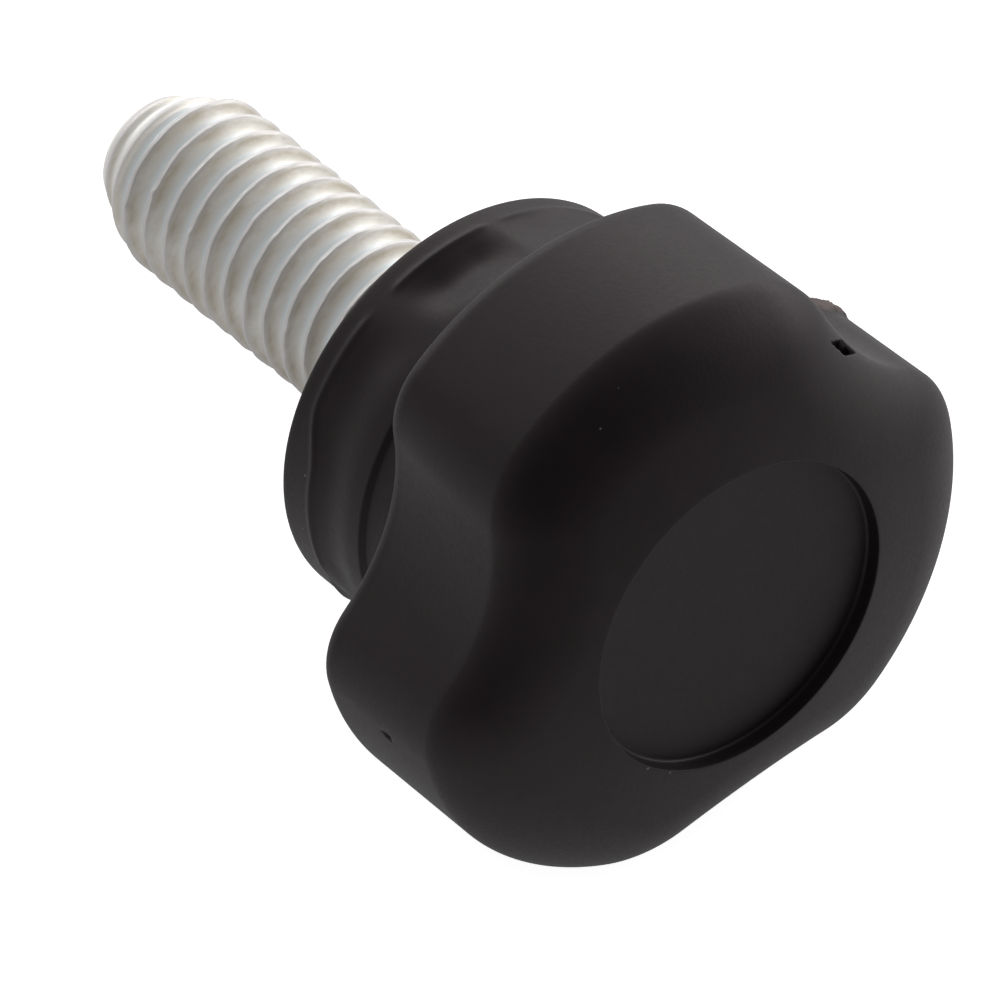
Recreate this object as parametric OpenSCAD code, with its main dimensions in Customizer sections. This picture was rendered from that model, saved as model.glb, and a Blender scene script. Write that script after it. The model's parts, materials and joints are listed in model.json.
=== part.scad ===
// Three-lobed clamping knob moulded round a threaded stud. It is drawn upright along its own axis, head
// upwards, and then laid down as it comes to rest: on the lower edges of two lobes and on the stud's tip.
// Lengths are in millimetres. Upright heights count from the rim of the recess in the head's top.

/* [Head outline] */
// Radius from the axis to the middle of each lobe
lobe_r = 10.0; // [9.5:0.1:11]
// Radius from the axis to the middle of each flute at the underside
flute_low_r = 7.75; // [7.4:0.05:8]
// Radius from the axis to the middle of each flute under the top rounding
flute_high_r = 8.3; // [8.05:0.05:8.5]
// Radius of the corner between lobe and flute at the underside
corner_low_r = 2.6; // [2.2:0.1:3]
// Radius of the corner between lobe and flute under the top rounding
corner_high_r = 3.5; // [3.1:0.1:3.8]
// Distance of the lobe arc's centre from the axis
lobe_shift = 0.7; // [0.4:0.1:1]
// Direction in which the corner meets the lobe, from the middle of the flute
corner_end = 31; // [29:1:34]

/* [Head sides and top] */
// Height of the head from its underside to the rim of the recess
head_h = 7.7; // [7.3:0.1:9]
// Radius of the rounding round the underside
edge_r = 0.5; // [0.3:0.1:0.8]
// Width of the soft rounding between sides and top
shoulder_w = 2.6; // [2.2:0.1:2.6]
// Height of the soft rounding between sides and top
shoulder_h = 1.35; // [1:0.05:1.6]
// Radius of the domed top
dome_r = 26.5; // [22:0.5:60]
// Radius of the shallow recess in the top
recess_r = 5.23; // [4.6:0.01:5.3]
// Depth of the recess
recess_d = 0.5; // [0.3:0.1:0.8]

/* [Hub] */
// Distance from the rim of the recess to the seat face of the hub
hub_h = 13.33; // [12.5:0.01:14.5]
// Radius of the flange at the seat
flange_r = 6.7; // [6.4:0.05:7]
// Thickness of the flange at the seat
flange_t = 0.85; // [0.7:0.05:1.2]
// Radius of the waist between flange and collar
waist_r = 5.45; // [5.2:0.05:5.8]
// Height of the waist
waist_h = 2.5; // [2.2:0.1:2.8]
// Radius of the collar's lip above the waist
collar_r = 6.85; // [6.7:0.05:7.1]
// Thickness of the collar's lip
collar_t = 0.45; // [0.3:0.05:0.5]
// Radius of the plain stretch between lip and head
neck_r = 6.6; // [6.3:0.05:6.65]
// Radius of the roundings on the flange, and of the hollows at the waist
hub_round_r = 0.2; // [0.1:0.05:0.25]
// Radius of the countersink round the stud in the seat face
countersink_r = 3.3; // [3.2:0.1:3.8]

/* [Ribs across the waist] */
// Thickness of a rib
rib_t = 1.0; // [0.8:0.1:1.4]
// Angle of each rib to the middle of its lobe
rib_angle = 18; // [14:1:22]

/* [Stud] */
// Nominal diameter of the thread
stud_d = 6; // [5.6:0.2:6]
// Length of the stud below the seat face
stud_l = 15.5; // [12:0.1:40]
// Height of the cone at the stud's tip, where the thread runs out
tip_h = 2.1; // [1.8:0.1:2.6]
// Diameter of the flat end of the stud
tip_d = 3.9; // [3.4:0.1:4.4]
// Diameter of the rolled blank, which stays plain inside the moulding
blank_d = 5.35; // [4:0.05:5.35]
// Distance across the flats of the head that anchors the stud in the moulding
anchor_af = 10; // [8:0.5:10]
// Thickness of the anchoring head
anchor_t = 4; // [3:0.1:4]
// Solid plastic between the recess and the anchoring head
anchor_cover = 2; // [1.8:0.1:2.4]

/* [Hidden] */
$fn = 96;
lobes = 3;
pitch_angle = 360 / lobes;      // from one lobe to the next
half_pitch = pitch_angle / 2;   // from a lobe to a flute
ring_points = 120;              // points round each ring of the head
edge_steps = 4;                 // rings in the rounding at the underside
side_steps = 5;                 // rings up the sides
shoulder_steps = 8;             // rings in the soft rounding
cap_r = 4.5;                    // radius of the flat cap that the recess takes away
join = 1;                       // depth to which one form runs into the next
stud_r = stud_d / 2;
tip_r = tip_d / 2;
underside_z = -head_h;
seat_z = -hub_h;
flange_z = seat_z + flange_t;
collar_z = flange_z + waist_h;
tip_z = seat_z - stud_l;
cone_z = tip_z + tip_h;
anchor_z = -recess_d - anchor_cover - anchor_t;

// Radius of the outline at an angle t from the middle of the first lobe. Between a flute's middle and a
// lobe's middle the outline is three arcs, each tangent to the next: the hollow of the flute, centred
// outside; the corner; and the lobe, centred near the axis. a and b are the radii at the middle of the lobe
// and of the flute, and c is the corner's radius.
function outline_r(t, a, b, c) =
    let (
        from_flute = abs((t + 360) % pitch_angle - half_pitch),
        big_r = a - lobe_shift,
        corner_x = lobe_shift * cos(half_pitch) + (big_r - c) * cos(corner_end),
        corner_y = lobe_shift * sin(half_pitch) + (big_r - c) * sin(corner_end),
        corner_far = norm([corner_x, corner_y]),
        corner_dir = atan2(corner_y, corner_x),
        hollow_x = ((b - c) ^ 2 - corner_far ^ 2) / (2 * (b - c - corner_x)),
        hollow_r = hollow_x - b,
        share = hollow_r / (hollow_r + c),
        to_corner = atan2(share * corner_y, hollow_x + share * (corner_x - hollow_x)),
        to_lobe = atan2(corner_y + c * sin(corner_end), corner_x + c * cos(corner_end)),
        from_lobe = half_pitch - from_flute
    )
    from_flute < to_corner
        ? hollow_x * cos(from_flute) - sqrt(hollow_r ^ 2 - (hollow_x * sin(from_flute)) ^ 2)
    : from_flute < to_lobe
        ? corner_far * cos(from_flute - corner_dir)
            + sqrt(c ^ 2 - (corner_far * sin(from_flute - corner_dir)) ^ 2)
        : lobe_shift * cos(from_lobe) + sqrt(big_r ^ 2 - (lobe_shift * sin(from_lobe)) ^ 2);

// Height of the dome at a radius. It passes through the rim of the recess.
function dome_z(r) = (recess_r ^ 2 - r ^ 2) / (2 * dome_r);

// The outline moved inwards by an inset, at share s of the way up from the low to the high outline
function inset_r(t, inset, s) =
    outline_r(
        t,
        lobe_r - inset,
        flute_low_r + s * (flute_high_r - flute_low_r) - inset,
        corner_low_r + s * (corner_high_r - corner_low_r) - inset
    );

function polar(t, r, z) = [r * cos(t), r * sin(t), z];

ring_angles = [for (j = [0:ring_points - 1]) 360 * j / ring_points];

// Rings from the underside upwards: the edge rounding, the sides, the soft shoulder and the dome
edge_rings = [
    for (k = [0:edge_steps - 1])
        let (up = 90 - 90 * k / edge_steps)
        [for (t = ring_angles)
            polar(t, inset_r(t, edge_r * (1 - cos(up)), 0), underside_z + edge_r * (1 - sin(up)))]
];
side_rings = [
    for (k = [0:side_steps - 1])
        let (s = k / side_steps)
        [for (t = ring_angles)
            let (r = inset_r(t, 0, s), foot = underside_z + edge_r)
            polar(t, r, foot + s * (dome_z(r) - shoulder_h - foot))]
];
shoulder_rings = [
    for (k = [0:shoulder_steps])
        let (up = 90 * k / shoulder_steps)
        [for (t = ring_angles)
            let (r = inset_r(t, shoulder_w * (1 - cos(up)), 1))
            polar(t, r, dome_z(r) - shoulder_h * (1 - sin(up)))]
];
cap_ring = [for (t = ring_angles) polar(t, cap_r, dome_z(cap_r))];
head_rings = concat(edge_rings, side_rings, shoulder_rings, [cap_ring]);
head_points = [for (ring = head_rings) each ring];

// Faces of a closed skin through equal rings, clockwise seen from outside
function skin_faces(rings, n) = concat(
    [[for (j = [0:n - 1]) j]],
    [for (k = [0:rings - 2], j = [0:n - 1])
        let (j2 = (j + 1) % n)
        [k * n + j, (k + 1) * n + j, (k + 1) * n + j2, k * n + j2]],
    [[for (j = [n - 1:-1:0]) (rings - 1) * n + j]]
);

// At rest the axis slopes down to the stud's tip. The head stands on the corners either side of one flute,
// whose lower edge is edge_r round, and the stud on the start of its tip cone. Both touch the floor when
// long * sin(lean) - wide * cos(lean) = edge_r.
corner_reach = lobe_shift * cos(half_pitch) + (lobe_r - lobe_shift - corner_low_r) * cos(corner_end)
    + corner_low_r;
rest_long = underside_z + edge_r - cone_z;
rest_wide = corner_reach - edge_r - stud_r;
lean = atan2(rest_wide, rest_long) + asin(edge_r / norm([rest_long, rest_wide]));

// The laid place of an upright point, before the shift that centres it over the origin
function laid_point(p) =
    [cos(lean) * p[2] - sin(lean) * p[0], -p[1], cos(lean) * p[0] + sin(lean) * p[2]];
laid_head = [for (p = head_points) laid_point(p)];
floor_z = min(min([for (p = laid_head) p[2]]), laid_point([-stud_r, 0, cone_z])[2]);
end_x = [laid_point([tip_r, 0, tip_z])[0], max([for (p = laid_head) p[0]])];
laid_shift = [-(end_x[0] + end_x[1]) / 2, 0, -floor_z];

module laid() {
    translate(laid_shift) rotate([0, 90 - lean, 0]) rotate([0, 0, 180]) children();
}

// The lobed head, domed on top, with its shallow round recess
module head() {
    difference() {
        polyhedron(points = head_points, faces = skin_faces(len(head_rings), ring_points), convexity = 4);
        translate([0, 0, -recess_d]) cylinder(r = recess_r, h = recess_d + join);
    }
}

// Half section of a disc with a round rim
module round_rim_section(r, low, high, round_r) {
    translate([0, low]) square([r - round_r, high - low]);
    translate([0, low + round_r]) square([r, high - low - 2 * round_r]);
    for (z = [low + round_r, high - round_r])
        translate([r - round_r, z]) circle(r = round_r);
}

// Half section of the hollow between the waist and a flange at height z; side is 1 above it, -1 below
module hollow_section(z, side) {
    translate([waist_r, z]) difference() {
        translate([-join, side > 0 ? 0 : -hub_round_r]) square([join + hub_round_r, hub_round_r]);
        translate([hub_round_r, side * hub_round_r]) circle(r = hub_round_r);
    }
}

module hub() {
    rotate_extrude() {
        round_rim_section(flange_r, seat_z, flange_z, hub_round_r);
        round_rim_section(collar_r, collar_z, collar_z + collar_t, hub_round_r);
        translate([0, seat_z + hub_round_r]) square([waist_r, hub_h - hub_round_r - head_h + join]);
        translate([0, collar_z + collar_t / 2]) square([neck_r, underside_z + join - collar_z - collar_t / 2]);
        hollow_section(flange_z, 1);
        hollow_section(collar_z, -1);
    }
    intersection() {
        translate([0, 0, seat_z + flange_t / 2])
            cylinder(r = flange_r, h = flange_t / 2 + waist_h + collar_t / 2);
        for (lobe = [0:lobes - 1], side = [-1, 1])
            rotate([0, 0, pitch_angle * lobe + side * rib_angle])
                translate([0, -rib_t / 2, seat_z]) cube([collar_r, rib_t, hub_h - head_h]);
    }
}

// The shallow countersink that keeps the moulding clear of the thread's last turn
module countersink() {
    translate([0, 0, seat_z]) cylinder(r1 = countersink_r, r2 = blank_d / 2, h = countersink_r - blank_d / 2);
}

// The stud with its coned tip and the hexagonal head that holds it in the moulding
module stud() {
    translate([0, 0, tip_z]) cylinder(r1 = tip_r, r2 = stud_r, h = tip_h);
    translate([0, 0, cone_z]) cylinder(r = stud_r, h = seat_z - cone_z);
    translate([0, 0, seat_z - join]) cylinder(d = blank_d, h = anchor_z - seat_z + 2 * join);
    translate([0, 0, anchor_z]) cylinder(r = anchor_af / 2 / cos(30), h = anchor_t, $fn = 6);
}

module knob_body() {
    color([0.11, 0.10, 0.10]) laid() difference() {
        union() {
            head();
            hub();
        }
        stud();
        countersink();
    }
}

module threaded_stud() {
    color([0.75, 0.76, 0.75]) laid() stud();
}

knob_body();
threaded_stud();
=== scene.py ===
"""A three-lobed clamping knob on a threaded stud, lying at rest on a pale floor.

Every shape is worked out in an upright frame along the knob's own axis: x points to the
upper lobe, z runs from the stud's tip to the head, and heights count from the rim of the
recess in the head's top. placed() turns those lengths into the frame of the solids.
"""

import json
import math

import bmesh
import bpy
import numpy as np
from bpy.props import FloatProperty, FloatVectorProperty, PointerProperty
from mathutils import Matrix, Vector


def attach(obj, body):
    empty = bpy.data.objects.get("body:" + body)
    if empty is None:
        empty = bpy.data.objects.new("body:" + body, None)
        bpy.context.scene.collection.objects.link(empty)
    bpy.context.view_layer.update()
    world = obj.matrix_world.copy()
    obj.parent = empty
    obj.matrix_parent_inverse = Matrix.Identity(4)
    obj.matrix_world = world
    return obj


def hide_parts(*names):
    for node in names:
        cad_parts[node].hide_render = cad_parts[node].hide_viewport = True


bl_info = {
    "name": "Three-lobed clamping knob",
    "version": (1, 0, 0),
    "blender": (4, 5, 0),
    "location": "3D View > Sidebar > Knob",
    "description": "Makes a moulded clamping knob with a threaded stud, and its studio",
    "category": "Add Mesh",
}

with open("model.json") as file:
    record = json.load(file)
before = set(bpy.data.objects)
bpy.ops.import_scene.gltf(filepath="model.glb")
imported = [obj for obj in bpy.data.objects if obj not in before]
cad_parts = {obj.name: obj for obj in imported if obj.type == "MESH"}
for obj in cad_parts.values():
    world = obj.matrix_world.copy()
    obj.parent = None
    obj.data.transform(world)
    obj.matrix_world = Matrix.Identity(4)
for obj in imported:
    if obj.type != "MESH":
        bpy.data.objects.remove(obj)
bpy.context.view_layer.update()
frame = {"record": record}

MM = 0.001
MOUNTS = {mount["name"]: mount for mount in frame["record"]["mounts"]}
AXIS = -np.array(MOUNTS["stud"]["axis"])  # from the stud's tip to the head
LOBE = np.array((-AXIS[2], 0.0, AXIS[0]))  # from the axis to the upper lobe
SIDE = np.cross(AXIS, LOBE)
STUD_MIDDLE = np.array(MOUNTS["stud"]["pos_m"])
SEAT = STUD_MIDDLE + AXIS * np.dot(np.array(MOUNTS["seat"]["pos_m"]) - STUD_MIDDLE, AXIS)
STUD_R = MOUNTS["stud"]["dims"]["r_mm"] * MM
BODY = "root"


# ---------------------------------------------------------------- sizes and finishes


def length(name, description, default):
    """A property that holds a length, given in millimetres"""
    return FloatProperty(
        name=name, description=description, default=default * MM, unit="LENGTH", precision=5
    )


def angle(name, description, default):
    """A property that holds an angle, given in degrees"""
    return FloatProperty(
        name=name,
        description=description,
        default=math.radians(default),
        subtype="ANGLE",
        unit="ROTATION",
    )


def colour(name, description, default):
    """A property that holds a linear colour"""
    return FloatVectorProperty(
        name=name,
        description=description,
        default=default,
        subtype="COLOR",
        size=3,
        min=0.0,
        max=1.0,
    )


class KnobHeadSizes(bpy.types.PropertyGroup):
    lobe_r: length("Lobe radius", "From the axis to the middle of each lobe", 10.0)
    flute_low_r: length("Flute radius below", "To the middle of a flute, at the underside", 7.75)
    flute_high_r: length("Flute radius above", "The same under the top rounding", 8.3)
    corner_low_r: length("Corner radius below", "Between lobe and flute, at the underside", 2.6)
    corner_high_r: length("Corner radius above", "The same under the top rounding", 3.5)
    lobe_shift: length("Lobe shift", "Distance of the lobe arc's centre from the axis", 0.7)
    corner_end: angle("Corner end", "Direction in which the corner meets the lobe", 31.0)
    head_h: length("Head height", "From the underside to the rim of the recess", 7.7)
    edge_w: length("Lower edge width", "How far the rounding round the underside comes in", 0.3)
    edge_h: length("Lower edge height", "How far the same rounding goes up the side", 0.55)
    shoulder_w: length("Shoulder width", "Width of the soft rounding at the top", 2.6)
    shoulder_h: length("Shoulder height", "Height of the soft rounding at the top", 1.35)
    dome_r: length("Dome radius", "Radius of the domed top", 26.5)
    recess_r: length("Recess radius", "Radius of the shallow recess", 5.23)
    recess_d: length("Recess depth", "Depth of the shallow recess", 0.5)


class KnobHubSizes(bpy.types.PropertyGroup):
    hub_h: length("Hub depth", "From the rim of the recess to the seat face", 13.33)
    countersink_r: length("Countersink radius", "Round the stud in the seat face", 3.3)
    flange_r: length("Flange radius", "Radius of the hub at the seat and between its scoops", 6.85)
    flange_t: length("Flange thickness", "From the seat to the scoops", 0.85)
    scoop_h: length("Scoop height", "From the flange to the collar", 2.5)
    collar_r: length("Collar radius", "Radius of the collar's lip", 6.85)
    collar_t: length("Collar thickness", "Thickness of the collar's lip", 0.45)
    neck_r: length("Neck radius", "Radius between the collar's lip and the head", 6.7)
    neck_ease: length("Neck step", "Height of the slope from the collar's lip to the neck", 0.2)


class KnobStudSizes(bpy.types.PropertyGroup):
    pitch: length("Pitch", "Rise of the thread in one turn", 1.0)
    crest_r: length("Crest radius", "Radius over the thread's crests", 2.95)
    crest_w: length("Crest width", "Width of the thread's crests", 0.14)
    thread_d: length("Thread depth", "From the crests to the roots", 0.5)
    stud_l: length("Stud length", "Free length below the seat face", 15.5)
    tip_h: length("Tip height", "Height of the cone at the tip, where the thread runs out", 2.1)
    tip_r: length("Tip radius", "Radius of the flat end", 1.95)
    blank_r: length("Blank radius", "Radius of the plain shank in the moulding", 2.675)
    anchor_af: length("Anchor width", "Across the flats of the anchoring head", 10.0)
    anchor_t: length("Anchor thickness", "Thickness of the anchoring head", 4.0)
    anchor_cover: length("Anchor cover", "Plastic between the recess and the anchoring head", 2.0)


class KnobFinishes(bpy.types.PropertyGroup):
    plastic: colour("Plastic", "Colour of the moulding", (0.0065, 0.0042, 0.005))
    torn: colour("Torn plastic", "Colour where the moulding is torn", (0.055, 0.036, 0.033))
    dust: colour("Dust", "Colour of the pale specks", (0.11, 0.1, 0.095))
    zinc: colour("Zinc", "Colour of the plating on the crests and the tip", (0.65, 0.63, 0.62))
    # painted light: flank and blue, lighter than zinc, paint the grooves lighter than the crests
    flank: colour("Flank", "Colour of the plating on the flanks", (0.82, 0.81, 0.78))
    # brownish tint, darker than the flank: a painted shadow along the flank just below each crest
    olive_shadow: colour("Tarnish and shadow", "Brownish tint on the flank below a crest", (0.43, 0.36, 0.25))
    blue: colour("Passivation", "Bluish tint in the thread's roots", (0.76, 0.82, 0.85))


class KnobStudio(bpy.types.PropertyGroup):
    azimuth: angle("Azimuth", "Direction of the camera round the object", 49.271)
    elevation: angle("Elevation", "Height of the camera above the horizon", 58.231)
    roll: angle("Roll", "Turn of the camera about its own axis", 1.665)
    distance: length("Distance", "From the aim to the camera", 410.83)
    aim: FloatVectorProperty(
        name="Aim",
        description="Point in the middle of the view",
        default=(6.609 * MM, -3.638 * MM, 12.079 * MM),
        subtype="TRANSLATION",
        unit="LENGTH",
    )
    lens: FloatProperty(name="Lens", description="Focal length in millimetres", default=504.0)
    floor: colour("Floor", "Colour of the floor and the backdrop", (0.82, 0.82, 0.82))


# ---------------------------------------------------------------- geometry helpers

WELD_REACH = 1e-8  # metres within which points count as one
POLE_SHARE = 0.5  # radius of the ring next to a pole, as a share of its flat face's
RIPPLE_RATIO, RIPPLE_FADE = 1.7, 1.3  # from each wave to the next: how much shorter and lower


def head_sizes():
    return bpy.context.scene.knob_head


def hub_sizes():
    return bpy.context.scene.knob_hub


def stud_sizes():
    return bpy.context.scene.knob_stud


def finishes():
    return bpy.context.scene.knob_finishes


def placed(x, y, z):
    """Upright place in the frame of the solids: x, y and z run along lobe, side and axis"""
    rim = SEAT + AXIS * hub_sizes().hub_h
    return rim + x[..., None] * LOBE + y[..., None] * SIDE + z[..., None] * AXIS


def rounded_path(corners, radii, line_steps, arc_steps):
    """A profile through corners, each rounded by an arc tangent to the lines that meet there.

    The arc of radius r at a corner that turns by an angle q starts r * tan(q / 2) before the
    corner, and its points are a blend of the two tangent points seen from the arc's centre.
    """
    corners = np.asarray(corners, float)
    points = [corners[0][None]]
    for i in range(1, len(corners) - 1):
        a, b, c = corners[i - 1 : i + 2]
        before = (b - a) / np.linalg.norm(b - a)
        after = (c - b) / np.linalg.norm(c - b)
        turn = math.acos(np.clip(np.dot(before, after), -1, 1))
        cut = radii[i - 1] * math.tan(turn / 2)
        start, end = b - before * cut, b + after * cut
        share = np.linspace(0, 1, line_steps[i - 1] + 1)[1:, None]
        points.append(points[-1][-1] + share * (start - points[-1][-1]))
        inward = after - before
        centre = b + inward / np.linalg.norm(inward) * (radii[i - 1] / math.cos(turn / 2))
        share = np.linspace(0, 1, arc_steps[i - 1] + 1)[1:, None]
        spread = np.sin((1 - share) * turn) * (start - centre)
        spread += np.sin(share * turn) * (end - centre)
        points.append(centre + spread / math.sin(turn))
    share = np.linspace(0, 1, line_steps[-1] + 1)[1:, None]
    points.append(points[-1][-1] + share * (corners[-1] - points[-1][-1]))
    return np.concatenate(points)


def smooth_step(low, high, value):
    """0 below low, 1 above high and a cubic ease between them"""
    share = np.clip((value - low) / (high - low), 0, 1)
    return share * share * (3 - 2 * share)


def grid_faces(rows, columns, shift=0):
    """Quads between rows of a grid that closes on itself round its columns.

    The last column joins the first one, shift rows further on, as the turns of a helix do.
    """
    row, column = np.meshgrid(np.arange(rows - 1), np.arange(columns), indexing="ij")
    across = (column + 1) % columns
    jump = np.where(column == columns - 1, shift, 0)
    low = np.minimum(row + jump, rows - 1) * columns + across
    high = np.minimum(row + jump + 1, rows - 1) * columns + across
    quads = [row * columns + column, low, high, (row + 1) * columns + column]
    return np.stack(quads, -1).reshape(-1, 4)


def fan_faces(pole, ring, outward_last):
    """Triangles from a pole to a closed ring, in the order that faces outwards"""
    after = np.roll(ring, -1)
    middle = np.full_like(ring, pole)
    return np.stack([middle, ring, after] if outward_last else [middle, after, ring], -1)


def solid_of_rings(name, points, attributes, shift=0):
    """A closed mesh from rings of points that narrow to a pole at each end.

    points has one row for each ring, from the low pole's ring to the high one's, and the poles
    are the middles of the first and the last ring. Points that fall together are welded into
    one. attributes holds one value for each point under each name.
    """
    rows, columns = points.shape[:2]
    poles = np.stack([points[0].mean(0), points[-1].mean(0)])
    vertices = np.concatenate([points.reshape(-1, 3), poles])
    count = rows * columns
    first, last = np.arange(columns), np.arange(columns) + count - columns
    triangles = np.concatenate([fan_faces(count, first, False), fan_faces(count + 1, last, True)])
    faces = grid_faces(rows, columns, shift).tolist() + triangles.tolist()
    mesh = bpy.data.meshes.new(name)
    mesh.from_pydata(vertices.tolist(), [], faces)
    for key, values in attributes.items():
        layer = mesh.attributes.new(key, "FLOAT", "POINT")
        flat = np.concatenate([np.broadcast_to(values, (rows, columns)).reshape(-1), [0.0, 0.0]])
        layer.data.foreach_set("value", flat.astype(np.float32))
    piece = bpy.data.objects.new(name, mesh)
    bpy.context.scene.collection.objects.link(piece)
    weld(mesh)
    mesh.polygons.foreach_set("use_smooth", np.ones(len(mesh.polygons), bool))
    mesh.update()
    return piece


def weld(mesh):
    """Joins points that fall together and drops faces without area"""
    work = bmesh.new()
    work.from_mesh(mesh)
    bmesh.ops.remove_doubles(work, verts=work.verts, dist=WELD_REACH)
    bmesh.ops.dissolve_degenerate(work, edges=work.edges, dist=WELD_REACH)
    work.to_mesh(mesh)
    work.free()


def circle_side(radius, offset):
    """How far a circle reaches along a line that passes its centre at an offset"""
    return np.sqrt(np.maximum(radius**2 - offset**2, 0))


def outline_r(theta, a, b, c):
    """Radius of the lobed outline at angles theta from the middle of the upper lobe.

    From the middle of a flute to the middle of a lobe the outline is three arcs, each tangent
    to the next: the hollow, centred outside; the corner of radius c; and the lobe, centred a
    little out from the axis. a and b are the radii at the middle of the lobe and the flute.
    """
    sizes = head_sizes()
    sixth = math.pi / 3
    shift, end = sizes.lobe_shift, sizes.corner_end
    from_flute = np.abs(np.mod(theta, 2 * sixth) - sixth)
    from_lobe = sixth - from_flute
    big_r = a - shift
    corner_x = shift * math.cos(sixth) + (big_r - c) * math.cos(end)
    corner_y = shift * math.sin(sixth) + (big_r - c) * math.sin(end)
    corner_far, corner_dir = np.hypot(corner_x, corner_y), np.arctan2(corner_y, corner_x)
    hollow_x = ((b - c) ** 2 - corner_far**2) / (2 * (b - c - corner_x))
    hollow_r = hollow_x - b
    share = hollow_r / (hollow_r + c)
    to_corner = np.arctan2(share * corner_y, hollow_x + share * (corner_x - hollow_x))
    to_lobe = np.arctan2(corner_y + c * math.sin(end), corner_x + c * math.cos(end))
    hollow_side = circle_side(hollow_r, hollow_x * np.sin(from_flute))
    hollow = hollow_x * np.cos(from_flute) - hollow_side
    bend = from_flute - corner_dir
    corner = corner_far * np.cos(bend) + circle_side(c, corner_far * np.sin(bend))
    lobe = shift * np.cos(from_lobe) + circle_side(big_r, shift * np.sin(from_lobe))
    convex = np.where(from_flute < to_lobe, corner, lobe)
    return np.where(from_flute < to_corner, hollow, convex)


def inset_r(theta, inset, share):
    """The outline moved inwards by an inset, at a share of the way up the head's sides"""
    sizes = head_sizes()
    flute = sizes.flute_low_r + share * (sizes.flute_high_r - sizes.flute_low_r)
    corner = sizes.corner_low_r + share * (sizes.corner_high_r - sizes.corner_low_r)
    return outline_r(theta, sizes.lobe_r - inset, flute - inset, corner - inset)


def dome_z(r):
    """Height of the domed top at a radius, which is 0 at the rim of the recess"""
    sizes = head_sizes()
    return (sizes.recess_r**2 - r**2) / (2 * sizes.dome_r)


def ripple(values, seed, waves, longest):
    """Smooth unevenness between about -1 and 1: a seeded sum of sines of falling length"""
    draw = np.random.default_rng(seed)
    total = np.zeros_like(values)
    for k in range(waves):
        phase = draw.uniform(0, 2 * math.pi)
        angles = values * (2 * math.pi / longest) * RIPPLE_RATIO**k + phase
        total += np.sin(angles) / RIPPLE_FADE**k
    return total / waves**0.5


# ---------------------------------------------------------------- moulding

LOBES = 3
COARSE_STEP = math.radians(1.1)  # spacing of the moulding's columns
FINE_STEP = math.radians(0.28)  # the same where small features need it
ANGLE_SAMPLES = 7201  # angles at which the spacing of the columns is worked out
SCAR_SPAN, DENT_MARGIN = 6.0, 0.8  # degrees of fine columns each side of the scar and past a dent
SOCKET_END, MOUTH_STEP = 0.4 * MM, 0.2 * MM  # rings of the bore above the countersink
SCOOPS = (  # middle and half width in degrees from each lobe's middle, and depth in millimetres
    (1.0, 18.0, 0.3),
    (63.5, 43.0, 0.13),
)
SCOOP_EASE = 13.0  # degrees over which a scoop's ends run out
SCOOP_SKEW = 0.8  # below 1 it moves a scoop's deepest line towards the flange
EDGE_LIFT = 0.55 * MM  # rise of the flange's upper edge in one long scoop
LIFT_SPAN = (88.0, 20.0, 18.0)  # where it rises: middle, half width and ease in degrees
BEAD, BEAD_WIDTH = 0.045 * MM, 0.14 * MM  # the flange's raised edge below a scoop
BEAD_DEPTH = 0.1 * MM  # depth of scoop at which the bead has its full height
BEAD_RINGS = (0.26, 0.2, 0.15, 0.1, 0.06, 0.03)  # millimetres below the flange's edge
WAIST_STEPS, WAIST_CROWDING = 30, 1.5  # rings of the waist, closer together at the flange
UNDERSIDE_REACH = 0.6 * MM  # from the neck to the first ring of the head's underside
UNDERSIDE_STEPS, EDGE_STEPS, SIDE_STEPS, SHOULDER_STEPS, DOME_STEPS = 4, 10, 26, 60, 8
RIM_MARGIN = 0.15 * MM  # from the recess's rim to the dome's last ring
RECESS_DRAFT, RECESS_FLOOR_R = 0.04 * MM, 0.4 * MM  # wall's lean, innermost ring of the floor
RECESS_ROUNDINGS = (0.025 * MM, 0.1 * MM)  # at the rim and at the foot of the wall
SCAR_ANGLE, SCAR_Z = math.radians(-80.0), -7.0 * MM  # where the runner was torn off the side
SCAR_HALF, SCAR_HEIGHT, SCAR_LIFT = 0.85 * MM, 0.4 * MM, 0.14 * MM
SCAR_EASE = 0.08 * MM  # over which the scar's edges rise
HEAD_FROM_R = 7 * MM  # the scar lies on what is further out than this
DENT_EASE, DENT_REACH = 0.25, 2 * MM  # share over which a dent deepens, and how far it can act
DENTS = (  # four corners, each as direction in degrees, radius and height, and the depth, in mm
    ((-42.9, 8.49, -1.36), (-55.4, 8.33, -1.71), (-48.7, 8.5, -1.68), (-48.7, 8.15, -1.27), 0.4),
    ((92.6, 9.89, -4.63), (95.4, 9.89, -4.63), (94.0, 9.89, -4.5), (94.0, 9.89, -4.78), 0.12),
)
DUST = (  # pale specks: direction in degrees, radius, height and radius of the speck in millimetres
    (-5.5, 10.05, -2.78, 0.022),
    (8.0, 9.53, -1.74, 0.02),
    (15.3, 9.13, -1.39, 0.022),
    (92.0, 9.89, -4.5, 0.025),
    (97.0, 9.88, -4.8, 0.02),
    (88.0, 6.85, -12.4, 0.025),
    (70.0, 6.85, -12.2, 0.025),
    (128.0, 5.3, -0.01, 0.03),
    (139.0, 5.3, -0.01, 0.025),
)


def turned(theta, middle):
    """Angle from middle to theta, between minus and plus half a turn"""
    return np.mod(theta - middle + math.pi, 2 * math.pi) - math.pi


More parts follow.
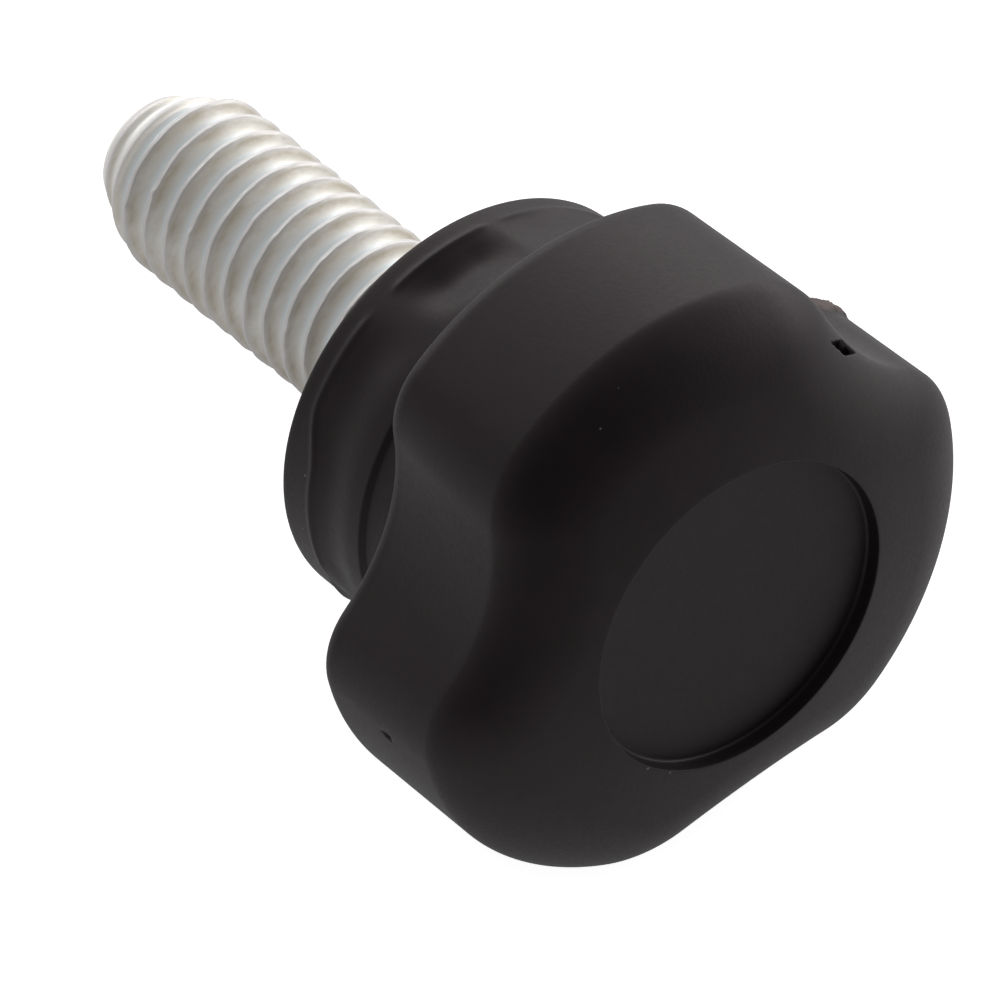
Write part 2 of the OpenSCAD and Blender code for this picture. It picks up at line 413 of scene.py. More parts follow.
def column_angles():
    """Angles of the moulding's columns, closer together at the scar and the dents.

    They are the places where the running total of column density passes each whole number.
    """
    steps = np.linspace(-math.pi, math.pi, ANGLE_SAMPLES)
    fine = np.zeros_like(steps)
    spans = [(math.degrees(SCAR_ANGLE), SCAR_SPAN)]
    for first, last, *_ in DENTS:
        spans.append(((first[0] + last[0]) / 2, abs(last[0] - first[0]) / 2 + DENT_MARGIN))
    for middle, half in spans:
        apart = np.abs(turned(steps, math.radians(middle)))
        fine = np.maximum(fine, apart < math.radians(half))
    density = np.where(fine > 0, 1 / FINE_STEP, 1 / COARSE_STEP)
    total = np.concatenate([[0], np.cumsum((density[1:] + density[:-1]) / 2 * np.diff(steps))])
    count = int(total[-1])
    return np.interp(np.arange(count) * total[-1] / count, total, steps)


def hex_r(theta, flats):
    """Radius of a hexagon at angles theta, from its width across the flats"""
    return flats / 2 / np.cos(np.mod(theta + math.pi / 6, math.pi / 3) - math.pi / 6)


def socket_rings(theta):
    """Rings inside the moulding: the anchor's pocket and the bore below it"""
    sizes, hub, head = stud_sizes(), hub_sizes(), head_sizes()
    top = -head.recess_d - sizes.anchor_cover
    low = top - sizes.anchor_t
    hexagon = hex_r(theta, sizes.anchor_af)
    bore = np.full_like(theta, sizes.blank_r)
    mouth = -hub.hub_h + hub.countersink_r - sizes.blank_r
    radius = np.stack([hexagon * POLE_SHARE, hexagon, hexagon, bore, bore])
    height = np.array([top, top, low, low, mouth + SOCKET_END])
    return radius, np.broadcast_to(height[:, None], radius.shape)


def edge_lift(theta):
    """How far the flange's upper edge rises in the long scoop beside the second lobe"""
    middle, half, ease = (math.radians(value) for value in LIFT_SPAN)
    return EDGE_LIFT * (1 - smooth_step(half, half + ease, np.abs(turned(theta, middle))))


def scoop_depth(theta):
    """Depth of the hub's scoops at angles theta, which eases to nothing at their ends"""
    depth = np.zeros_like(theta)
    for lobe in range(LOBES):
        for middle, half, deepest in SCOOPS:
            direction_to = math.radians(lobe * 360 / LOBES + middle)
            apart = np.degrees(np.abs(turned(theta, direction_to)))
            within = 1 - smooth_step(half - SCOOP_EASE, half, apart)
            depth = np.maximum(depth, deepest * MM * within)
    return depth


def around(path, theta):
    """A profile as rings: its radius and its height, the same at every angle"""
    return np.repeat(path[:, :1], len(theta), 1), np.repeat(path[:, 1:], len(theta), 1)


def flange_bead(height, edge_z, depth):
    """Height of the thin bead along the flange's edge, which is there only below a scoop"""
    across = np.exp(-(((height - edge_z) / BEAD_WIDTH) ** 2))
    return BEAD * across * smooth_step(0, BEAD_DEPTH, depth)


def hub_rings(theta):
    """Rings from the bore's mouth over the flange, the scooped waist and the collar to the head.

    Between flange and collar the radius is flange_r - depth * sin(pi * t ** SCOOP_SKEW) ** 2
    plus the bead, where t runs from 0 at the flange's edge to 1 at the collar.
    """
    sizes, head = hub_sizes(), head_sizes()
    seat = -sizes.hub_h
    flange_z = seat + sizes.flange_t
    collar_z = flange_z + sizes.scoop_h
    lip_z = collar_z + sizes.collar_t
    bore = stud_sizes().blank_r
    foot = [
        (bore, seat + sizes.countersink_r - bore + MOUTH_STEP),
        (bore, seat + sizes.countersink_r - bore),
        (sizes.countersink_r, seat),
        (sizes.flange_r, seat),
        (sizes.flange_r, seat + 0.5 * MM),
    ]
    foot_radii = np.array([0.05, 0.05, 0.2]) * MM
    low_r, low_z = around(rounded_path(foot, foot_radii, [1, 2, 4, 2], [2, 2, 6]), theta)
    share = (np.linspace(0, 1, WAIST_STEPS + 1) ** WAIST_CROWDING)[:, None]
    edge_z = flange_z + edge_lift(theta)[None]
    depth = scoop_depth(theta)[None]
    mid_z = edge_z + share * (collar_z - edge_z)
    hollow = depth * np.sin(math.pi * share**SCOOP_SKEW) ** 2
    mid_r = sizes.flange_r - hollow + flange_bead(mid_z, edge_z, depth)
    before_z = edge_z - np.array(BEAD_RINGS)[:, None] * MM
    before_r = sizes.flange_r + flange_bead(before_z, edge_z, depth)
    collar = [
        (sizes.collar_r, collar_z),
        (sizes.collar_r, lip_z),
        (sizes.neck_r, lip_z + sizes.neck_ease),
        (sizes.neck_r, -head.head_h),
        (sizes.neck_r + UNDERSIDE_REACH, -head.head_h),
    ]
    collar_radii = np.array([0.12, 0.12, 0.2]) * MM
    top = rounded_path(collar, collar_radii, [2, 1, 3, 1], [5, 4, 4])
    top_r, top_z = around(top[1:], theta)
    radius = np.concatenate([low_r, before_r, mid_r, top_r])
    return radius, np.concatenate([low_z, before_z, mid_z, top_z])


def shares(steps):
    """The equal steps up to 1, without the 0 that they start from"""
    return np.linspace(0, 1, steps + 1)[1:]


def head_rings(theta):
    """Rings of the head: underside, lower edge, sides, soft shoulder and dome up to the rim"""
    sizes, hub = head_sizes(), hub_sizes()
    low = -sizes.head_h
    rings = []
    start = np.full_like(theta, hub.neck_r + UNDERSIDE_REACH)
    for share in shares(UNDERSIDE_STEPS):
        radius = start + share * (inset_r(theta, sizes.edge_w, 0) - start)
        rings.append((radius, np.full_like(theta, low)))
    for up in np.radians(np.linspace(90, 0, EDGE_STEPS + 1)[1:]):
        radius = inset_r(theta, sizes.edge_w * (1 - math.cos(up)), 0)
        height = low + sizes.edge_h * (1 - math.sin(up))
        rings.append((radius, np.full_like(theta, height)))
    foot = low + sizes.edge_h
    for share in shares(SIDE_STEPS):
        radius = inset_r(theta, 0, share)
        rings.append((radius, foot + share * (dome_z(radius) - sizes.shoulder_h - foot)))
    for up in np.radians(np.linspace(0, 90, SHOULDER_STEPS + 1)[1:]):
        radius = inset_r(theta, sizes.shoulder_w * (1 - math.cos(up)), 1)
        rings.append((radius, dome_z(radius) - sizes.shoulder_h * (1 - math.sin(up))))
    last = rings[-1][0]
    rim = sizes.recess_r + RIM_MARGIN
    for share in shares(DOME_STEPS):
        radius = last + share * (rim - last)
        rings.append((radius, dome_z(radius)))
    return np.stack([ring[0] for ring in rings]), np.stack([ring[1] for ring in rings])


def recess_rings(theta):
    """Rings over the recess's crisp rim, down its wall and across its floor"""
    sizes = head_sizes()
    rim = sizes.recess_r + RIM_MARGIN
    corners = [
        (rim, float(dome_z(rim))),
        (sizes.recess_r, 0.0),
        (sizes.recess_r - RECESS_DRAFT, -sizes.recess_d),
        (RECESS_FLOOR_R, -sizes.recess_d),
    ]
    return around(rounded_path(corners, RECESS_ROUNDINGS, [1, 3, 7], [4, 6])[1:], theta)


def torn_scar(theta, radius, height):
    """Lift and wear of the torn runner: a low rough stub with ragged edges on the head's side"""
    along = turned(theta, SCAR_ANGLE) * radius
    ragged = 0.08 * MM * ripple(along, seed=5, waves=5, longest=0.9 * MM)
    sideways = np.abs(along) + ragged
    upwards = np.abs(height - SCAR_Z) + ragged
    edge_a = 1 - smooth_step(SCAR_HALF - 0.1 * MM, SCAR_HALF + SCAR_EASE, sideways)
    edge_z = 1 - smooth_step(SCAR_HEIGHT - SCAR_EASE, SCAR_HEIGHT + SCAR_EASE, upwards)
    mask = edge_a * edge_z * (radius > HEAD_FROM_R)
    rough = 0.85 + 0.2 * ripple(along + 2.3 * height, seed=8, waves=5, longest=0.7 * MM)
    rough += 0.1 * ripple(height, seed=9, waves=4, longest=0.5 * MM)
    rise = np.clip(0.6 - 0.6 * along / SCAR_HALF, 0, 1.2)
    return mask * rough * rise * SCAR_LIFT, mask


def upright(degrees, radius, height):
    """Upright place of a point given as direction in degrees, radius and height in millimetres"""
    turn = math.radians(degrees)
    return np.array((radius * math.cos(turn), radius * math.sin(turn), height)) * MM


def dented(points):
    """The upright points with the dents pressed in, and how far inside a dent each one is.

    A point's shares of a dent's two half diagonals add up to less than 1 inside it. That share
    darkens the moulding's colour as painted shade in the dents.
    """
    dent_shade = np.zeros(points.shape[:-1])
    moved = points.copy()
    for *corners, deep in DENTS:
        left, right, top, bottom = (upright(*corner) for corner in corners)
        half = np.stack([right - left, bottom - top]) / 2
        inward = np.cross(half[0], half[1])
        inward *= -np.sign(inward @ (left + right)) / np.linalg.norm(inward)
        apart = points - (left + right) / 2
        inside = 1 - np.abs(apart @ np.linalg.pinv(half)).sum(-1)
        near = np.linalg.norm(apart, axis=-1) < DENT_REACH
        mask = smooth_step(0.0, DENT_EASE, inside) * near
        moved += (mask * deep * MM)[..., None] * inward
        dent_shade = np.maximum(dent_shade, mask)
    return moved, dent_shade


def moulding_piece():
    """The whole moulding as rings, from the socket's end round the outside to the recess"""
    theta = column_angles()
    parts = [make(theta) for make in (socket_rings, hub_rings, head_rings, recess_rings)]
    radius = np.concatenate([part[0] for part in parts])
    height = np.concatenate([part[1] for part in parts])
    outside = (np.arange(len(radius)) >= len(parts[0][0]))[:, None]
    angles = np.broadcast_to(theta, radius.shape)
    lift, torn = torn_scar(angles, radius, height)
    radius = radius + lift * outside
    points, dent = dented(np.stack([radius * np.cos(angles), radius * np.sin(angles), height], -1))
    places = placed(*np.moveaxis(points, -1, 0))
    # dent carries how far inside a dent each point is, for the painted shade in the dents
    return solid_of_rings("knob_moulding", places, {"torn": torn * outside, "dent": dent})


# ---------------------------------------------------------------- stud

STUD_COLUMNS = 216
THREAD_PHASE = 0.2206  # share of a turn from the crest's edge above the upper lobe to the seat
THREAD_SAMPLES = 16  # points across one groove
SEAM, CREST_SEAM = 0.012 * MM, 0.02 * MM  # shallow marks that rolling leaves
THREAD_TOP = 0.25 * MM  # how far the thread runs on past the seat, into the countersink
TURN_EDGE = 1e-9  # keeps a crest's edge in its own turn
BURR_WIDTH = 0.13 * MM
CREST_ONLY = 0.15 * MM  # depth below the crest at which burrs and unevenness end
RUN_OUT = 0.45  # share of the thread's depth that is left on the cone
BARE_OVER = 0.06 * MM  # over which the thread gives way to the bare cone
ANCHOR_GAP = 0.01 * MM  # between the stud and its socket in the moulding
BURRS = (  # direction in degrees, distance from the tip and size in millimetres
    (46.0, 3.3, 0.09),
    (40.0, 1.6, 0.1),
    (66.0, 2.4, 0.09),
    (52.0, 5.4, 0.08),
    (44.0, 8.6, 0.1),
    (72.0, 9.0, 0.12),
    (66.0, 10.6, 0.1),
    (20.0, 7.5, 0.07),
)


def thread_profile():
    """One turn of the thread from the crest's upper edge: share of the pitch, and depth.

    Between two crests the depth is thread_d * sin(pi * x / width), so the flanks leave the
    crests steeply and turn smoothly into the root.
    """
    sizes = stud_sizes()
    pitch, crest = sizes.pitch, sizes.crest_w
    x = np.linspace(0, 1, THREAD_SAMPLES + 1)[:-1]
    y = SEAM * (1 - x) ** 8 + sizes.thread_d * np.sin(math.pi * x)
    crest_x = pitch - crest + np.array([0, 0.15, 0.5, 0.85]) * crest
    crest_y = np.array([SEAM, 0, CREST_SEAM, 0])
    share = np.concatenate([x * (pitch - crest), crest_x]) / pitch
    return share, np.concatenate([y, crest_y])


def stud_cone(height, tip):
    """Radius of the cone at the tip, at a height"""
    sizes = stud_sizes()
    return sizes.tip_r + (height - tip) * (STUD_R - sizes.tip_r) / sizes.tip_h


def stud_piece():
    """The stud as rings: tip face, thread, plain shank in the moulding and anchoring head.

    In the thread each column is the next one's profile shifted along the axis by its share of
    a pitch, so the rows are helices, and the last column joins the first one a whole turn on.
    """
    sizes, hub, head = stud_sizes(), hub_sizes(), head_sizes()
    seat = -hub.hub_h
    tip = seat - sizes.stud_l
    top = seat + THREAD_TOP
    theta = np.arange(STUD_COLUMNS) * 2 * math.pi / STUD_COLUMNS
    turn = theta / (2 * math.pi)
    share, depth = thread_profile()
    per_turn = len(share)
    turns = math.ceil((top - tip) / sizes.pitch) + 2
    base = math.floor((tip - seat) / sizes.pitch + THREAD_PHASE) - 1
    row_share = (np.arange(turns)[:, None] + base + share[None]).reshape(-1)
    height = seat + (row_share[:, None] - THREAD_PHASE + turn[None]) * sizes.pitch
    height = np.clip(height, tip, top)
    place = (height - seat) / sizes.pitch + THREAD_PHASE - turn[None]
    whole_turns = np.floor(place + TURN_EDGE)
    within = place - whole_turns
    below = np.interp(within, np.append(share, 1.0), np.append(depth, depth[0]))
    helix = (whole_turns + turn[None]) * sizes.pitch * 6
    wander = 0.014 * MM * ripple(helix, seed=21, waves=8, longest=4 * MM)
    wander += 0.022 * MM * ripple(helix, seed=22, waves=12, longest=0.8 * MM)
    burr = np.zeros_like(height)
    for degrees, from_tip, size in BURRS:
        sideways = turned(np.broadcast_to(theta, height.shape), math.radians(degrees))
        apart = np.hypot(sideways * STUD_R, height - tip - from_tip * MM)
        burr += size * MM * np.exp(-((apart / BURR_WIDTH) ** 2))
    on_crest = 1 - np.clip(below / CREST_ONLY, 0, 1)
    radius = sizes.crest_r - below + wander * on_crest
    running_out = RUN_OUT * smooth_step(0.15 * MM, 0.6 * MM, height - tip)
    cone = stud_cone(height, tip) - running_out * below
    bare = np.clip((radius - cone) / BARE_OVER, 0, 1)
    radius = np.minimum(np.minimum(radius, cone) + burr * on_crest, STUD_R)
    groove = below / sizes.thread_d * (1 - 0.4 * bare)
    hexagon = hex_r(theta, sizes.anchor_af - 2 * ANCHOR_GAP)
    anchor_top = -head.recess_d - sizes.anchor_cover - ANCHOR_GAP
    anchor_low = anchor_top - sizes.anchor_t + 2 * ANCHOR_GAP
    shank = np.full_like(theta, sizes.blank_r - ANCHOR_GAP)
    tip_ring = np.full_like(theta, sizes.tip_r * POLE_SHARE)
    inside = [shank, shank, hexagon, hexagon, hexagon * POLE_SHARE]
    radius = np.concatenate([tip_ring[None], radius, inside])
    ends = np.array([top, anchor_low, anchor_low, anchor_top, anchor_top])
    end_rows = np.repeat(ends[:, None], STUD_COLUMNS, 1)
    height = np.concatenate([np.full((1, STUD_COLUMNS), tip), height, end_rows])
    plain = np.zeros_like(end_rows)
    attributes = {
        "groove": np.concatenate([plain[:1], groove, plain]),
        "across": np.concatenate([plain[:1], within, plain]),
    }
    points = placed(radius * np.cos(theta), radius * np.sin(theta), height)
    return solid_of_rings("threaded_stud_rolled", points, attributes, per_turn)


# ---------------------------------------------------------------- shaders


def new_group(name, inputs, outputs):
    """A shader node group with its sockets and its two end nodes"""
    group = bpy.data.node_groups.new(name, "ShaderNodeTree")
    for kind, label, default in inputs:
        socket = group.interface.new_socket(label, in_out="INPUT", socket_type=kind)
        if default is not None:
            socket.default_value = default
    for kind, label in outputs:
        group.interface.new_socket(label, in_out="OUTPUT", socket_type=kind)
    return group, group.nodes.new("NodeGroupInput"), group.nodes.new("NodeGroupOutput")


def add(tree, kind, links=(), **settings):
    """A node with its settings, and links into its sockets given as (socket, output)"""
    node = tree.nodes.new(kind)
    for key, value in settings.items():
        setattr(node, key, value)
    for socket, value in links:
        if isinstance(value, bpy.types.NodeSocket):
            tree.links.new(value, node.inputs[socket])
        else:
            node.inputs[socket].default_value = value
    return node


def calculated(tree, operation, first, second):
    """The result of a Math node on two numbers or outputs"""
    node = add(tree, "ShaderNodeMath", [(0, first), (1, second)], operation=operation)
    return node.outputs[0]


def ranged(tree, value, start=0.0, end=1.0, low=0.0, high=1.0, **settings):
    """A value mapped from start to end onto low to high, and kept between them"""
    links = [("Value", value), ("From Min", start), ("From Max", end)]
    links += [("To Min", low), ("To Max", high)]
    return add(tree, "ShaderNodeMapRange", links, **settings).outputs[0]


def carried(tree, name):
    """A value that the mesh carries at each point"""
    return add(tree, "ShaderNodeAttribute", attribute_name=name).outputs["Fac"]


def grained(tree, grain, vector, scale, blotch_scale):
    """Height and blotch of the fine grain at a place, at the given scales"""
    surface = add(tree, "ShaderNodeGroup", node_tree=grain)
    tree.links.new(vector, surface.inputs["Vector"])
    surface.inputs["Scale"].default_value = scale
    surface.inputs["Blotch scale"].default_value = blotch_scale
    return surface.outputs["Height"], surface.outputs["Blotch"]


def roughened(tree, shader, height, strength, distance):
    """Gives a shader a bump of a height"""
    links = [("Height", height), ("Strength", strength), ("Distance", distance)]
    bump = add(tree, "ShaderNodeBump", links)
    tree.links.new(bump.outputs[0], shader.inputs["Normal"])


def grain_group():
    """Fine moulded or plated grain: two noises of unlike size, as a height and as a mask"""
    group, inside, outside = new_group(
        "Fine grain",
        [
            ("NodeSocketVector", "Vector", None),
            ("NodeSocketFloat", "Scale", 9000.0),
            ("NodeSocketFloat", "Blotch scale", 700.0),
        ],
        [("NodeSocketFloat", "Height"), ("NodeSocketFloat", "Blotch")],
    )
    place = ("Vector", inside.outputs["Vector"])
    fine_scale = ("Scale", inside.outputs["Scale"])
    blotch_scale = ("Scale", inside.outputs["Blotch scale"])
    fine = add(group, "ShaderNodeTexNoise", [place, fine_scale, ("Detail", 3.0)])
    coarse = [place, blotch_scale, ("Detail", 4.0), ("Roughness", 0.6)]
    blotch = add(group, "ShaderNodeTexNoise", coarse)
    group.links.new(fine.outputs["Fac"], outside.inputs["Height"])
    group.links.new(blotch.outputs["Fac"], outside.inputs["Blotch"])
    return group


def speck_group():
    """A round speck at a centre: 1 inside its radius, easing to 0 at its edge"""
    group, inside, outside = new_group(
        "Speck",
        [
            ("NodeSocketVector", "Vector", None),
            ("NodeSocketVector", "Centre", None),
            ("NodeSocketFloat", "Radius", 0.0001),
        ],
        [("NodeSocketFloat", "Mask")],
    )
    ends = [(0, inside.outputs["Vector"]), (1, inside.outputs["Centre"])]
    apart = add(group, "ShaderNodeVectorMath", ends, operation="DISTANCE").outputs["Value"]
    share = calculated(group, "DIVIDE", apart, inside.outputs["Radius"])
    group.links.new(ranged(group, share, start=1.0, end=0.5), outside.inputs["Mask"])
    return group


def new_material(name):
    """An empty node material with its output and its Principled shader"""
    material = bpy.data.materials.new(name)
    material.use_nodes = True
    tree = material.node_tree
    tree.nodes.clear()
    out = tree.nodes.new("ShaderNodeOutputMaterial")
    shader = tree.nodes.new("ShaderNodeBsdfPrincipled")
    tree.links.new(shader.outputs[0], out.inputs[0])
    return material, tree, shader


def mix_colour(tree, factor, first, second):
    """Colour between first and second by a factor"""
    node = add(tree, "ShaderNodeMix", data_type="RGBA")
    factor_socket, first_socket, second_socket = node.inputs[0], node.inputs[6], node.inputs[7]
    pairs = ((factor_socket, factor), (first_socket, first), (second_socket, second))
    for socket, value in pairs:
        if isinstance(value, bpy.types.NodeSocket):
            tree.links.new(value, socket)
        else:
            socket.default_value = value
    return node.outputs[2]


def rgba(colour_value, gain=1.0):
    """A property's colour as four numbers, made lighter or darker by a gain"""
    return (*[channel * gain for channel in colour_value], 1.0)


PLASTIC_GRAIN, PLASTIC_BLOTCH = 7000.0, 500.0  # scales of the grain and of the faint blotches
PLASTIC_ROUGH = (0.44, 0.58)
PLASTIC_BUMP = (0.15, 0.03 * MM)  # strength and height
PLASTIC_GLOSS, PLASTIC_TINT = 0.25, (1.0, 0.86, 0.88, 1.0)  # strength and tint of its reflections
SPECK_REACH = 2  # radius over which a speck fades, as a multiple of its own
ZINC_GRAIN, ZINC_BLOTCH = 5000.0, 650.0
ZINC_ROUGH = (0.42, 0.6)
ZINC_BUMP = (0.35, 0.02 * MM)
ZINC_METALLIC = 0.45
ZINC_STREAKS = (3.0, 1.0, 1.0)  # grain closer along the axis than across it


def plastic_material(grain, speck):
    """Matte black moulding with a fine grain, faint blotches, brown torn plastic and dust, and
    painted shade in the dents
    """
    tones = finishes()
    material, tree, shader = new_material("Black moulded plastic")
    place = add(tree, "ShaderNodeTexCoord").outputs["Object"]
    height, blotch = grained(tree, grain, place, PLASTIC_GRAIN, PLASTIC_BLOTCH)
    patch = ranged(tree, blotch, start=0.35, end=0.65)
    base = mix_colour(tree, patch, rgba(tones.plastic, 0.85), rgba(tones.plastic, 1.2))
    base = mix_colour(tree, carried(tree, "torn"), base, rgba(tones.torn))
    # painted shade: the dents are darkened to 0.3 of the plastic's colour
    base = mix_colour(tree, carried(tree, "dent"), base, rgba(tones.plastic, 0.3))
    dust = 0.0
    for degrees, radius, up, size in DUST:
        dot = add(tree, "ShaderNodeGroup", node_tree=speck)
        tree.links.new(place, dot.inputs["Vector"])
        dot.inputs["Centre"].default_value = placed(*upright(degrees, radius, up))
        dot.inputs["Radius"].default_value = size * SPECK_REACH * MM
        dust = calculated(tree, "MAXIMUM", dot.outputs["Mask"], dust)
    base = mix_colour(tree, dust, base, rgba(tones.dust))
    tree.links.new(base, shader.inputs["Base Color"])
    rough = ranged(tree, height, low=PLASTIC_ROUGH[0], high=PLASTIC_ROUGH[1])
    tree.links.new(rough, shader.inputs["Roughness"])
    roughened(tree, shader, height, *PLASTIC_BUMP)
    shader.inputs["Specular IOR Level"].default_value = PLASTIC_GLOSS
    shader.inputs["Specular Tint"].default_value = PLASTIC_TINT
    return material


def zinc_material(grain):
    """Zinc plating: pale crests, flanks and roots painted lighter than the crests as painted light,
    a brownish tint darkened into a painted shadow below each crest, and bluish roots
    """
    tones = finishes()
    material, tree, shader = new_material("Zinc-plated steel")
    place = add(tree, "ShaderNodeTexCoord").outputs["Object"]
    streaked = add(tree, "ShaderNodeMapping", [("Vector", place)])
    streaked.inputs["Rotation"].default_value = (0.0, math.atan2(AXIS[2], AXIS[0]), 0.0)
    streaked.inputs["Scale"].default_value = ZINC_STREAKS
    height, blotch = grained(tree, grain, streaked.outputs[0], ZINC_GRAIN, ZINC_BLOTCH)
    groove, across = carried(tree, "groove"), carried(tree, "across")
    # painted light: the grooves take the lighter flank colour in place of light falling on them
    sunk = ranged(tree, groove, start=0.04, end=0.3)
    base = mix_colour(tree, sunk, rgba(tones.zinc), rgba(tones.flank))
    spotted = ranged(tree, blotch, start=0.34, end=0.62, low=0.3)
    # painted shadow with a brownish tint: a patchy dark band on the flank just below each crest
    shady = ranged(tree, across, start=0.3, end=0.0)
    olive_shadow = calculated(tree, "MULTIPLY", shady, spotted)
    olive_shadow = calculated(tree, "MULTIPLY", olive_shadow, sunk)
    base = mix_colour(tree, olive_shadow, base, rgba(tones.olive_shadow))
    # bluish passivation tint in the roots, also painted lighter than the crests: painted light
    deep = ranged(tree, groove, start=0.75, end=1.0, high=0.9)
    base = mix_colour(tree, deep, base, rgba(tones.blue))
    tree.links.new(base, shader.inputs["Base Color"])
    rough = ranged(tree, blotch, low=ZINC_ROUGH[0], high=ZINC_ROUGH[1])
    tree.links.new(rough, shader.inputs["Roughness"])
    roughened(tree, shader, height, *ZINC_BUMP)
    shader.inputs["Metallic"].default_value = ZINC_METALLIC
    return material


# ---------------------------------------------------------------- operators

FLOOR_GLOW = 0.78  # how bright the floor glows where it is seen, before any light falls on it
MIRRORED_GLOW = 0.3  # share of that glow in a reflection
TENT_DARK_SIDE = (75.0, 25.0)  # azimuth and elevation of the tent's dark side
TENT_DARK_EDGE = (0.3, 0.9)  # cosines to that side where it starts to darken and is darkest
TENT_LEVEL = 0.52
TENT_SHADE = 0.48  # how much less a reflection shows of it on the dark side
FLOOR_HALF = 0.6  # metres
SENSOR_WIDTH = 36.0  # millimetres
CLIP = (0.01, 10.0)  # metres
WHITE = (1, 1, 1, 1)
LAMPS = (  # name, azimuth and elevation in degrees, distance, width and height in m, radiance
    ("back_lamp", -115.0, 14.0, 0.6, 1.0, 0.3, 2.6),
    ("side_lamp", 176.0, 11.0, 0.6, 0.6, 0.2, 5.5),
)


def seat_piece(piece, node, material):
    """Gives a finished piece its material and its place among the solids"""
    piece.data.materials.append(material)
    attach(piece, BODY)
    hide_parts(node)


class KNOB_OT_moulding(bpy.types.Operator):
    """Makes the black moulding: the lobed head, the scooped hub and the stud's socket"""

    bl_idname = "knob.moulding"
    bl_label = "Moulding"

    def execute(self, context):
        piece = moulding_piece()
        material = plastic_material(grain_group(), speck_group())
        seat_piece(piece, "knob_body", material)
        return {"FINISHED"}


class KNOB_OT_stud(bpy.types.Operator):
    """Makes the zinc-plated stud with its rolled thread"""

    bl_idname = "knob.stud"
    bl_label = "Threaded stud"

    def execute(self, context):
        seat_piece(stud_piece(), "threaded_stud", zinc_material(grain_group()))
        return {"FINISHED"}


def seen_directly(tree):
    """1 for a ray from the camera or through a clear surface, less in a reflection, else 0"""
    path = add(tree, "ShaderNodeLightPath")
    mirrored = calculated(tree, "MULTIPLY", path.outputs["Is Glossy Ray"], MIRRORED_GLOW)
    bare = calculated(tree, "MAXIMUM", path.outputs["Is Camera Ray"], mirrored)
    return calculated(tree, "MAXIMUM", bare, path.outputs["Is Transmission Ray"])


def floor_material(tone):
    """Pale floor: it glows nearly to white where it is seen, and the rest takes the shadow"""
    material, tree, shader = new_material("Pale floor")
    shader.inputs["Base Color"].default_value = rgba(tone)
    shader.inputs["Roughness"].default_value = 0.9
    shader.inputs["Specular IOR Level"].default_value = 0.1
    shader.inputs["Emission Color"].default_value = WHITE
    glow = calculated(tree, "MULTIPLY", seen_directly(tree), FLOOR_GLOW)
    tree.links.new(glow, shader.inputs["Emission Strength"])
    return material


def add_floor(tone):
    """A wide flat floor that the knob lies on"""
    half = FLOOR_HALF
    mesh = bpy.data.meshes.new("studio_floor")
    corners = [(-half, -half, 0), (half, -half, 0), (half, half, 0), (-half, half, 0)]
    mesh.from_pydata(corners, [], [(0, 1, 2, 3)])
    floor = bpy.data.objects.new("studio_floor", mesh)
    bpy.context.scene.collection.objects.link(floor)
    mesh.materials.append(floor_material(tone))


def direction(azimuth, elevation):
    """Unit vector away from the knob, from two angles in degrees counted as the camera's are"""
    a, e = math.radians(azimuth), math.radians(elevation)
    return Vector((math.sin(a) * math.cos(e), -math.cos(a) * math.cos(e), math.sin(e)))


def add_softbox(name, azimuth, elevation, distance, width, height, radiance):
    """A flat lamp that faces the knob, as bright as a white sheet times its radiance"""
    away = direction(azimuth, elevation)
    data = bpy.data.lights.new(name, "AREA")
    data.shape = "RECTANGLE"
    data.size = width
    data.size_y = height
    data.energy = radiance * math.pi * width * height
    lamp = bpy.data.objects.new(name, data)
    lamp.location = away * distance
    lamp.rotation_mode = "QUATERNION"
    lamp.rotation_quaternion = away.to_track_quat("Z", "Y")
    bpy.context.scene.collection.objects.link(lamp)


def add_world():
    """The tent round the knob: white where it is seen, and an even pale light all round.

    Only reflections show its dark side.
    """
    world = bpy.data.worlds.new("Pale surround")
    bpy.context.scene.world = world
    world.use_nodes = True
    tree = world.node_tree
    tree.nodes.clear()
    out = tree.nodes.new("ShaderNodeOutputWorld")
    place = add(tree, "ShaderNodeTexCoord")
    sides = [(0, place.outputs["Generated"]), (1, direction(*TENT_DARK_SIDE))]
    facing = add(tree, "ShaderNodeVectorMath", sides, operation="DOT_PRODUCT")
    path = add(tree, "ShaderNodeLightPath")
    start, end = TENT_DARK_EDGE
    shade = ranged(tree, facing.outputs["Value"], start, end, high=TENT_SHADE,
                   interpolation_type="SMOOTHSTEP")
    shade = calculated(tree, "MULTIPLY", shade, path.outputs["Is Glossy Ray"])
    level = calculated(tree, "SUBTRACT", TENT_LEVEL, shade)
    lit = add(tree, "ShaderNodeBackground", [("Color", WHITE), ("Strength", level)])
    seen = add(tree, "ShaderNodeBackground", [("Color", WHITE), ("Strength", 1.0)])
    camera_ray, through = path.outputs["Is Camera Ray"], path.outputs["Is Transmission Ray"]
    mix = add(tree, "ShaderNodeMixShader", [(0, calculated(tree, "MAXIMUM", camera_ray, through))])
    tree.links.new(lit.outputs[0], mix.inputs[1])
    tree.links.new(seen.outputs[0], mix.inputs[2])
    tree.links.new(mix.outputs[0], out.inputs[0])


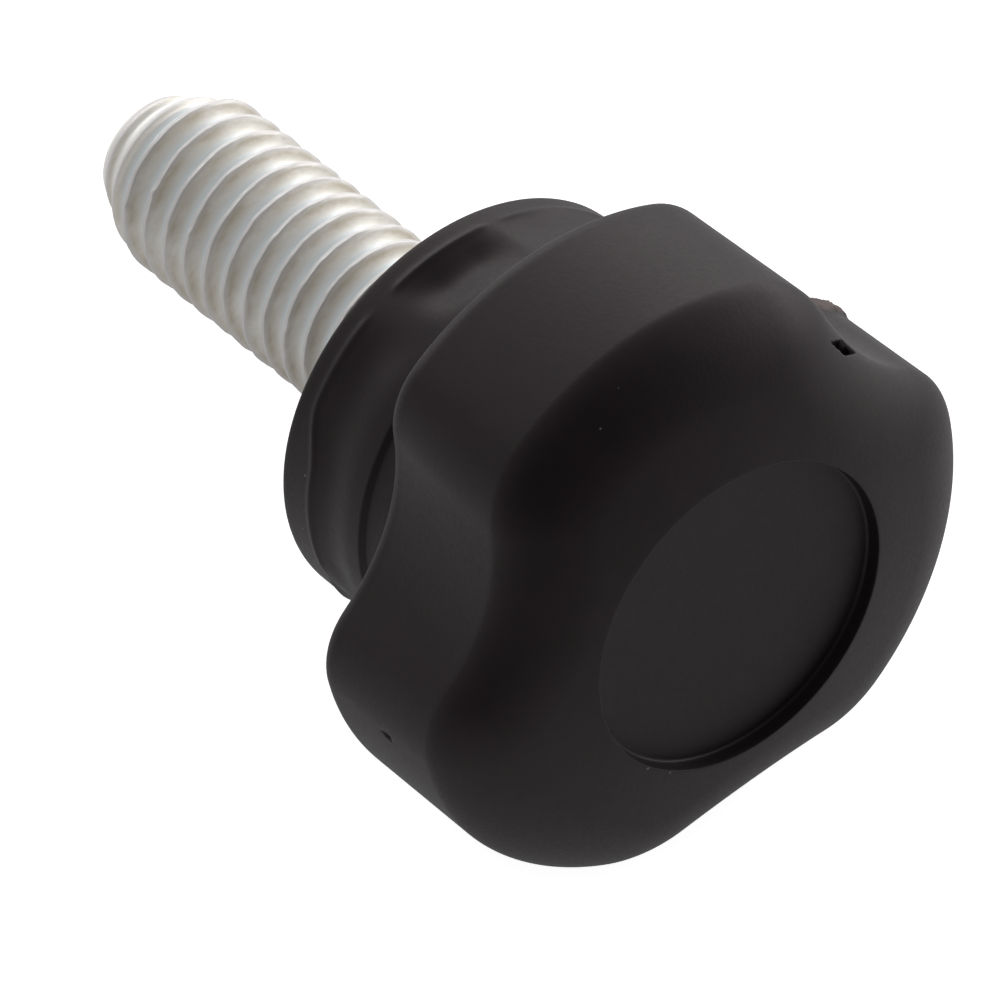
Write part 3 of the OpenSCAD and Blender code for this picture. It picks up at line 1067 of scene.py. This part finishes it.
def add_camera(studio):
    """The camera, from its direction round the object, its roll and its aim"""
    back = direction(math.degrees(studio.azimuth), math.degrees(studio.elevation))
    data = bpy.data.cameras.new("Camera")
    data.lens = studio.lens
    data.sensor_width = SENSOR_WIDTH
    data.clip_start, data.clip_end = CLIP
    camera = bpy.data.objects.new("Camera", data)
    camera.location = Vector(studio.aim) + back * studio.distance
    level = Vector((0, 0, 1)).cross(back).normalized()
    turn = Matrix((level, back.cross(level), back)).transposed()
    camera.rotation_mode = "QUATERNION"
    camera.rotation_quaternion = (turn @ Matrix.Rotation(studio.roll, 3, "Z")).to_quaternion()
    bpy.context.scene.collection.objects.link(camera)
    bpy.context.scene.camera = camera


class KNOB_OT_studio(bpy.types.Operator):
    """Makes the stage: camera, pale floor, pale surround and soft lamps"""

    bl_idname = "knob.studio"
    bl_label = "Studio"

    def execute(self, context):
        studio = context.scene.knob_studio
        add_camera(studio)
        add_floor(studio.floor)
        add_world()
        for name, *lamp in LAMPS:
            add_softbox(name, *lamp)
        context.scene.view_settings.view_transform = "Standard"
        return {"FINISHED"}


class KNOB_PT_panel(bpy.types.Panel):
    """Lists the knob's steps and sizes"""

    bl_idname = "KNOB_PT_panel"
    bl_label = "Clamping knob"
    bl_space_type = "VIEW_3D"
    bl_region_type = "UI"
    bl_category = "Knob"

    def draw(self, context):
        for operator in OPERATORS:
            self.layout.operator(operator.bl_idname)
        for owner, kind in SETTINGS.items():
            box = self.layout.box()
            for key in kind.__annotations__:
                box.prop(getattr(context.scene, owner), key)


OPERATORS = (KNOB_OT_moulding, KNOB_OT_stud, KNOB_OT_studio)
SETTINGS = {
    "knob_head": KnobHeadSizes,
    "knob_hub": KnobHubSizes,
    "knob_stud": KnobStudSizes,
    "knob_finishes": KnobFinishes,
    "knob_studio": KnobStudio,
}


def register():
    for kind in (*SETTINGS.values(), *OPERATORS, KNOB_PT_panel):
        bpy.utils.register_class(kind)
    for owner, kind in SETTINGS.items():
        setattr(bpy.types.Scene, owner, PointerProperty(type=kind))


def unregister():
    for owner in SETTINGS:
        delattr(bpy.types.Scene, owner)
    for kind in (KNOB_PT_panel, *OPERATORS, *SETTINGS.values()):
        bpy.utils.unregister_class(kind)


def main():
    register()
    bpy.ops.knob.moulding()
    bpy.ops.knob.stud()
    bpy.ops.knob.studio()


if __name__ == "__main__":
    main()
